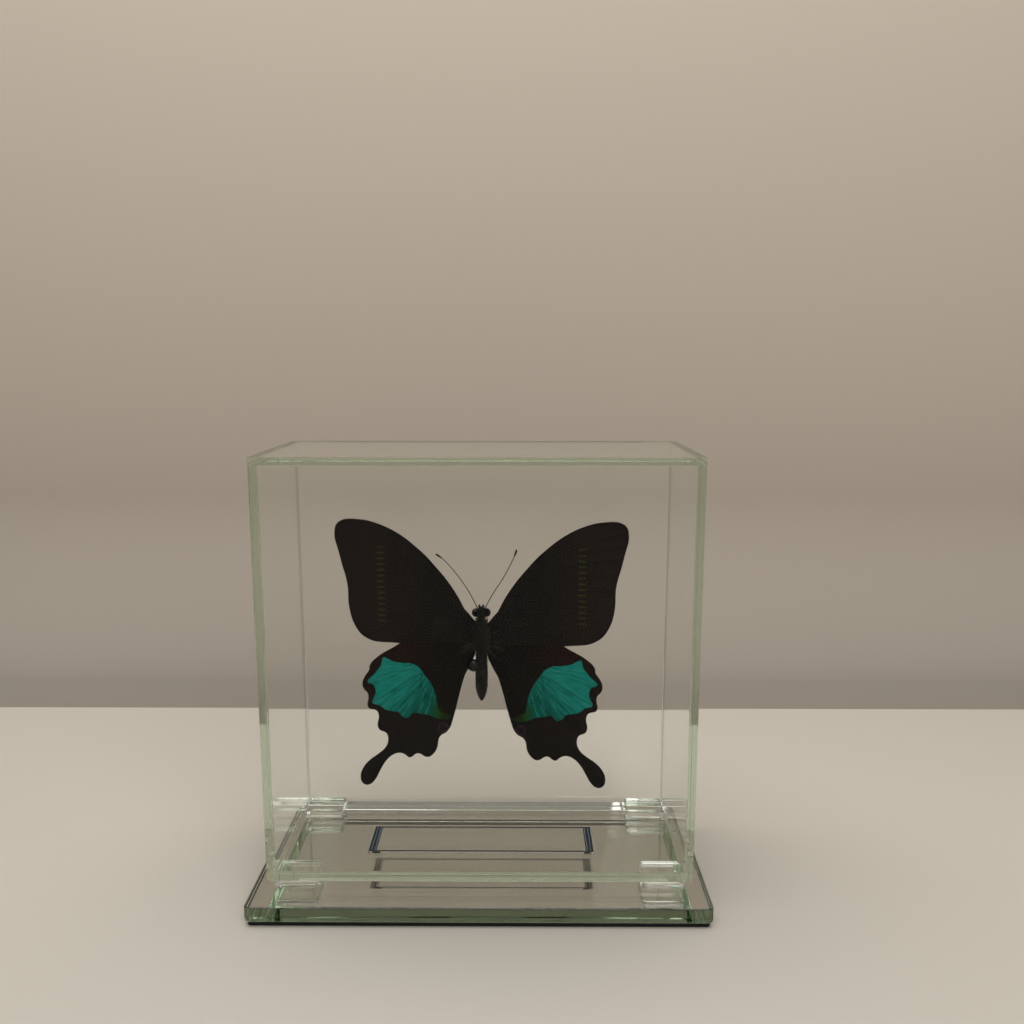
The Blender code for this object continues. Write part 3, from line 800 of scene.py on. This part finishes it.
def wing_sheet(ring, veins):
    """A thin sheet of small cells inside the outline, its veins laid in it as tapered tubes."""
    sheet = bmesh.new()
    rim = [sheet.verts.new(point) for point in smooth_route(ring, RIM_STEPS, closed=True)]
    loop = [sheet.edges.new(pair) for pair in zip(rim, rim[1:] + rim[:1])]
    bmesh.ops.edgeloop_fill(sheet, edges=loop)
    for axis in (0, 1):
        low, high = min(p[axis] for p in ring), max(p[axis] for p in ring)
        normal = Vector((axis == 0, axis == 1, 0))
        for cut in range(1, int((high - low) / CELL)):
            bmesh.ops.bisect_plane(
                sheet, geom=sheet.verts[:] + sheet.edges[:] + sheet.faces[:], dist=0.0005,
                plane_co=normal * (low + cut * CELL), plane_no=normal,
            )
    bmesh.ops.recalc_face_normals(sheet, faces=sheet.faces[:])
    bmesh.ops.solidify(sheet, geom=sheet.faces[:], thickness=MEMBRANE)
    middle = sum(corner.co.z for corner in sheet.verts) / len(sheet.verts)
    bmesh.ops.translate(sheet, verts=sheet.verts[:], vec=(0, 0, -middle))
    for face in sheet.faces:
        face.material_index = 1 if face.normal.z < -0.5 else 0
    routes = []
    for vein in veins:
        last = len(vein) - 1
        routes.append([(Vector((*spot, 0)), 1.0 - VEIN_TAPER * i / last) for i, spot in enumerate(vein)])
    tubes = strands(routes, VEIN_RADIUS, 1, 6)
    tube_mesh = bpy.data.meshes.new("tubes")
    tubes.to_mesh(tube_mesh)
    tubes.free()
    sheet.from_mesh(tube_mesh)
    bpy.data.meshes.remove(tube_mesh)
    for face in sheet.faces:
        face.smooth = True
    return sheet


WING_ROOT = 3.9
WING_SETTING = {-1: (0.98, 1.1), 1: (1.0, 0.0)}  # by side: share of the width, height raised by, mm


def set_wing(node, name, veins, side, camber, droop, patch, finishes):
    """Builds one wing from its CAD outline, hollows and furrows it, and sets it in its place.

    The left pair is set a little higher and narrower; both sides share one plan of veins.
    """
    share, raised = WING_SETTING[side]
    ring, level, slope = rim_of(node)
    ring = [Vector((WING_ROOT + (p.x - WING_ROOT) / share, p.y - raised, 0)) for p in ring]
    sheet = wing_sheet(ring, veins)
    edge = nearest_on(smooth_route(ring, 8, closed=True))
    vein_points = [p for vein in veins for p in smooth_route([(*spot, 0) for spot in vein], 24)]
    nearest_vein = nearest_on(vein_points)
    patch_ring = smooth_route([(*spot, 0) for spot in patch], 8, closed=True) if patch else []
    patch_edge = nearest_on(patch_ring) if patch else None
    plan = sheet.verts.layers.float_vector.new("plan")
    lines = sheet.verts.layers.float_vector.new("lines")
    for corner in sheet.verts:
        out, up, through = corner.co
        flat = Vector((out, up, 0))
        to_vein, to_edge = nearest_vein.find(flat)[2], edge.find(flat)[2]
        in_patch = 0.0
        if patch:
            in_patch = patch_edge.find(flat)[2] * (1 if inside(flat, patch_ring) else -1)
        corner[plan] = flat
        corner[lines] = (to_vein, to_edge, in_patch)
        furrow = min(1, to_vein / 1.8)
        rise = camber * math.sin(math.pi * min(1, max(0, (out - 4) / 52)))
        rise -= 0.16 * furrow * furrow * (3 - 2 * furrow) * min(1, to_edge / 2 + 0.3)
        rise += 0.35 * noise.noise(flat / 14 + Vector((side * 3, 0, 0))) * min(1, max(0, (out - 6) / 14))
        wave = math.sin(out * 0.55 + up * 0.42)
        rise += droop * max(0, 1 - to_edge / 5) ** 2 * wave * min(1, max(0, (out - 8) / 10))
        out = WING_ROOT + (out - WING_ROOT) * share
        if out < ROOT_EDGE:
            out -= ROOT_REACH * (ROOT_EDGE - out) / (ROOT_EDGE - WING_ROOT)
        corner.co = (
            side * out * MM,
            level + slope * out * MM - (rise + through) * MM,
            thorax.z + (up + raised) * MM,
        )
    if side < 0:
        bmesh.ops.reverse_faces(sheet, faces=sheet.faces[:])
    return object_from(sheet, name, *finishes)


# ---- Scales of the wings -------------------------------------------------------------------------
# The wings get their colour from rows of tiny scales. The upper side is black-brown, with olive
# dashes on the forewing and a teal patch on the hindwing, its silky sheen painted; the underside is dull
# brown.

def smooth_step(tree, value, low, high):
    """0 below low, 1 above high, with a soft passage between them."""
    return add_node(
        tree, "MapRange", {"Value": value, "From Min": low, "From Max": high},
        interpolation_type="SMOOTHSTEP",
    ).outputs[0]


def fading(tree, value, low, high):
    """1 below low, 0 above high, with a soft passage between them."""
    return calc(tree, "SUBTRACT", 1.0, smooth_step(tree, value, low, high))


def calc(tree, operation, *values):
    """One step of arithmetic between node outputs and numbers."""
    return add_node(tree, "Math", dict(enumerate(values)), operation=operation).outputs[0]


def wing_places(tree):
    """Node outputs for a wing: plan, out, up, distance to vein, to margin, and depth in the patch."""
    plan = add_node(tree, "Attribute", attribute_name="plan").outputs["Vector"]
    out, up, _ = add_node(tree, "SeparateXYZ", {0: plan}).outputs
    lines = add_node(tree, "Attribute", attribute_name="lines").outputs["Vector"]
    vein, margin, patch = add_node(tree, "SeparateXYZ", {0: lines}).outputs
    return plan, out, up, vein, margin, patch


def scale_cloth(tree, shader, plan):
    """The nap of the scales: rows of tiny shingles, as relief and as a grain in the colour."""
    rows = add_node(tree, "Mapping", {"Vector": plan, "Scale": (7.0, 11.0, 1.0)}).outputs[0]
    shingles = add_node(tree, "TexVoronoi", {"Vector": rows, "Scale": 1.0}).outputs["Distance"]
    relief(tree, shader, shingles, 0.35, 0.04 * MM)
    return add_node(
        tree, "TexNoise", {"Vector": plan, "Scale": 2.6, "Detail": 6.0, "Roughness": 0.7}
    ).outputs[0]


NIGHT_BROWN, WARM_BROWN = (0.0085, 0.0065, 0.0050, 1), (0.0165, 0.0100, 0.0072, 1)
RED_BROWN, OLIVE_BROWN = (0.026, 0.0085, 0.0070, 1), (0.0150, 0.0125, 0.0100, 1)
PALE_HAIR, GOLD_DUST = (0.055, 0.050, 0.034, 1), (0.035, 0.060, 0.020, 1)
VEIN_DARK = (0.004, 0.003, 0.003, 1)


def wing_ground(tree, shader, places, warm_from, warm_to):
    """The black-brown of the upper side, warmer outward, with pale streaks at the base and dust."""
    plan, out, up, vein = places[:4]
    grain = scale_cloth(tree, shader, plan)
    outward = smooth_step(tree, out, warm_from, warm_to)
    warmth = calc(tree, "MULTIPLY", outward, calc(tree, "ADD", grain, 0.45))
    ground = tinted(tree, warmth, NIGHT_BROWN, WARM_BROWN)
    turn = calc(tree, "ARCTAN2", up, out)
    reach = add_node(tree, "VectorMath", {0: plan}, operation="LENGTH").outputs["Value"]
    fan = add_node(
        tree, "CombineXYZ", {0: calc(tree, "MULTIPLY", turn, 26.0), 1: calc(tree, "MULTIPLY", reach, 0.09)}
    ).outputs[0]
    streak = add_node(tree, "TexNoise", {"Vector": fan, "Scale": 1.0, "Detail": 2.0}).outputs[0]
    near_base = fading(tree, reach, 9.0, 26.0)
    hairs = calc(tree, "MULTIPLY", smooth_step(tree, streak, 0.60, 0.70), near_base)
    ground = tinted(tree, calc(tree, "MULTIPLY", hairs, 0.32), ground, PALE_HAIR)
    cells = add_node(tree, "TexVoronoi", {"Vector": plan, "Scale": 1.1})
    dot = fading(tree, cells.outputs["Distance"], 0.06, 0.12)
    chance = add_node(tree, "SeparateColor", {0: cells.outputs["Color"]}).outputs[0]
    dust = calc(tree, "MULTIPLY", dot, smooth_step(tree, chance, 0.62, 0.75))
    ground = tinted(tree, calc(tree, "MULTIPLY", dust, 0.5), ground, GOLD_DUST)
    on_vein = fading(tree, vein, 0.12, 0.34)
    return tinted(tree, calc(tree, "MULTIPLY", on_vein, 0.35), ground, VEIN_DARK), grain


forewing_upper, tree, shader = new_finish("forewing_upper", Roughness=0.78, Specular_IOR_Level=0.22)
places = wing_places(tree)
out, up = places[1:3]
colour, _ = wing_ground(tree, shader, places, 14.0, 42.0)
DASH_LINE, DASH_PITCH = 36.6, 2.1  # mm
OLIVE_DASH = (0.034, 0.040, 0.010, 1)
off_line = calc(tree, "ABSOLUTE", calc(tree, "SUBTRACT", out, DASH_LINE))
band = fading(tree, off_line, 0.9, 1.9)
beat = calc(tree, "SINE", calc(tree, "MULTIPLY", up, 2 * math.pi / DASH_PITCH))
dashes = calc(tree, "MULTIPLY", band, smooth_step(tree, beat, 0.0, 0.9))
dashes = calc(tree, "MULTIPLY", dashes, smooth_step(tree, up, 4.0, 7.0))
dashes = calc(tree, "MULTIPLY", dashes, fading(tree, up, 33.0, 37.0))
colour = tinted(tree, dashes, colour, OLIVE_DASH)
tree.links.new(colour, shader.inputs["Base Color"])

TURQUOISE, SEA_GREEN = (0.012, 0.345, 0.285, 1), (0.001, 0.145, 0.105, 1)
# Lit and shaded teal of the patch: painted sheen and painted shade.
PAINTED_SHEEN_TEAL, PAINTED_SHADE_TEAL = (0.03, 0.38, 0.33, 1), (0.001, 0.13, 0.10, 1)
PATCH_VEIN, GRASS_GREEN = (0.002, 0.045, 0.038, 1), (0.014, 0.085, 0.008, 1)
INNER_STREAK, SPOT_RING = (0.016, 0.032, 0.006, 1), (0.050, 0.026, 0.045, 1)
hindwing_upper, tree, shader = new_finish("hindwing_upper", Roughness=0.70, Specular_IOR_Level=0.12)
places = wing_places(tree)
plan, out, up, vein, _, patch = places
colour, grain = wing_ground(tree, shader, places, 12.0, 34.0)
blush = calc(tree, "MULTIPLY", smooth_step(tree, out, 18.0, 30.0), smooth_step(tree, up, -14.0, -6.0))
colour = tinted(tree, calc(tree, "MULTIPLY", blush, 0.6), colour, RED_BROWN)
lower = fading(tree, up, -40.0, -28.0)
colour = tinted(tree, calc(tree, "MULTIPLY", lower, 0.8), colour, OLIVE_BROWN)
ragged = calc(tree, "MULTIPLY_ADD", calc(tree, "SUBTRACT", grain, 0.5), 1.1, patch)
field = smooth_step(tree, ragged, -0.12, 0.22)
slant = calc(tree, "ADD", calc(tree, "MULTIPLY", out, 0.75), calc(tree, "MULTIPLY", up, 0.55))
teal = tinted(tree, smooth_step(tree, slant, 2.0, 14.0), SEA_GREEN, TURQUOISE)
FAN_FROM = (16.0, -10.0, 0.0)  # the rows of scales in the patch fan out from here
off_fan = add_node(tree, "VectorMath", {0: plan, 1: FAN_FROM}, operation="SUBTRACT").outputs[0]
fan_out, fan_up, _ = add_node(tree, "SeparateXYZ", {0: off_fan}).outputs
fan_turn = calc(tree, "MULTIPLY", calc(tree, "ARCTAN2", fan_up, fan_out), 19.0)
fan_reach = add_node(tree, "VectorMath", {0: off_fan}, operation="LENGTH").outputs["Value"]
comb = add_node(tree, "CombineXYZ", {0: fan_turn, 1: calc(tree, "MULTIPLY", fan_reach, 0.13)}).outputs[0]
# Pale rows across the teal patch are painted sheen, deep rows painted shade, as the silky scales catch and
# lose the light.
sheen_rows = add_node(tree, "TexNoise", {"Vector": comb, "Scale": 1.0, "Detail": 3.0}).outputs[0]
painted_sheen_rows = calc(tree, "MULTIPLY", smooth_step(tree, sheen_rows, 0.50, 0.66), 0.55)
teal = tinted(tree, painted_sheen_rows, teal, PAINTED_SHEEN_TEAL)
painted_shade_rows = calc(tree, "MULTIPLY", smooth_step(tree, sheen_rows, 0.50, 0.36), 0.50)
teal = tinted(tree, painted_shade_rows, teal, PAINTED_SHADE_TEAL)
thin_line = fading(tree, vein, 0.10, 0.42)
teal = tinted(tree, calc(tree, "MULTIPLY", thin_line, 0.55), teal, PATCH_VEIN)
green = fading(tree, out, 15.5, 21.0)
green = calc(tree, "MULTIPLY", green, fading(tree, up, -28.0, -23.0))
teal = tinted(tree, green, teal, GRASS_GREEN)
streak = fading(tree, out, 14.0, 17.0)
teal = tinted(tree, streak, teal, INNER_STREAK)
colour = tinted(tree, field, colour, teal)
EYE_SPOT, EYE_SPOT_RADIUS = (14.6, -35.2, 0.0), 1.7
to_spot = add_node(tree, "VectorMath", {0: plan, 1: EYE_SPOT}, operation="DISTANCE").outputs["Value"]
off_ring = calc(tree, "ABSOLUTE", calc(tree, "SUBTRACT", to_spot, EYE_SPOT_RADIUS))
ring_share = fading(tree, off_ring, 0.15, 0.7)
colour = tinted(tree, calc(tree, "MULTIPLY", ring_share, 0.7), colour, SPOT_RING)
tree.links.new(colour, shader.inputs["Base Color"])


UNDER_BROWN, OCHRE_DUST = (0.020, 0.014, 0.010, 1), (0.10, 0.075, 0.035, 1)
MOON_RED, PALE_BAND = (0.20, 0.045, 0.035, 1), (0.13, 0.11, 0.085, 1)
MOON_ROW = 3.6  # mm inside the margin


def underside(name, moons):
    """The underside: dull brown dusted with ochre at the base; moons are the reddish margin spots."""
    material, tree, shader = new_finish(name, Roughness=0.8, Specular_IOR_Level=0.2)
    plan, out, up, vein, margin, _ = wing_places(tree)
    grain = scale_cloth(tree, shader, plan)
    reach = add_node(tree, "VectorMath", {0: plan}, operation="LENGTH").outputs["Value"]
    dusty = calc(tree, "MULTIPLY", fading(tree, reach, 14.0, 34.0), grain)
    colour = tinted(tree, dusty, UNDER_BROWN, OCHRE_DUST)
    between = smooth_step(tree, vein, 0.5, 1.3)
    if moons:
        row = calc(tree, "ABSOLUTE", calc(tree, "SUBTRACT", margin, MOON_ROW))
        moon = calc(tree, "MULTIPLY", fading(tree, row, 0.5, 1.1), between)
        away = smooth_step(tree, out, 13.0, 17.0)
        outer = calc(tree, "MULTIPLY", away, smooth_step(tree, up, -6.0, -12.0))
        colour = tinted(tree, calc(tree, "MULTIPLY", moon, outer), colour, MOON_RED)
    else:
        away = smooth_step(tree, out, 30.0, 44.0)
        pale = calc(tree, "MULTIPLY", away, smooth_step(tree, margin, 1.0, 5.0))
        pale = calc(tree, "MULTIPLY", calc(tree, "MULTIPLY", pale, between), 0.6)
        colour = tinted(tree, pale, colour, PALE_BAND)
    tree.links.new(colour, shader.inputs["Base Color"])
    return material


forewing_under = underside("forewing_under", False)
hindwing_under = underside("hindwing_under", True)
PAIRS = (  # name, veins, hollow and droop of the margin in mm, patch, finishes
    ("forewing", FOREWING_VEINS, 0.7, 0.12, (), (forewing_upper, forewing_under)),
    ("hindwing", HINDWING_VEINS, 0.1, 0.22, TEAL_PATCH, (hindwing_upper, hindwing_under)),
)
for side_name, side in (("left", -1), ("right", 1)):
    for kind, veins, camber, droop, patch, finishes in PAIRS:
        node = f"{kind}_{side_name}"
        sheet_name = f"{kind}_sheet_{side_name}"
        fit(set_wing(node, sheet_name, veins, side, camber, droop, patch, finishes), kind, node)

# Long pale hairs lie fanwise from the thorax over the wing bases.
FAN_COUNT, FAN_HAIR = 46, 0.03 * MM
dice = random.Random(23)
fan = []
for side in (-1, 1):
    for _ in range(FAN_COUNT):
        turn = math.radians(dice.uniform(-66, 34))
        away = Vector((side * math.cos(turn), 0, math.sin(turn)))
        start = thorax + away * dice.uniform(2.6, 3.4) * MM - BACKWARD * 0.9 * MM
        length = dice.uniform(3.0, 8.0) * MM
        bow = UPWARD * dice.uniform(-0.5, 0.2) * MM
        middle = start + away * length * 0.5 - BACKWARD * dice.uniform(0.3, 0.7) * MM + bow
        tip = start + away * length - BACKWARD * (0.25 * MM + 0.07 * length) + bow * 2
        fan.append([(start, 1.0), (middle, 0.8), (tip, 0.2)])
base_hair = new_finish("base_hair", Base_Color=(0.05, 0.046, 0.032, 1), Roughness=0.6)[0]
fit(object_from(strands(fan, FAN_HAIR, 0, 3), "wing_base_hair", base_hair), "insect_body")
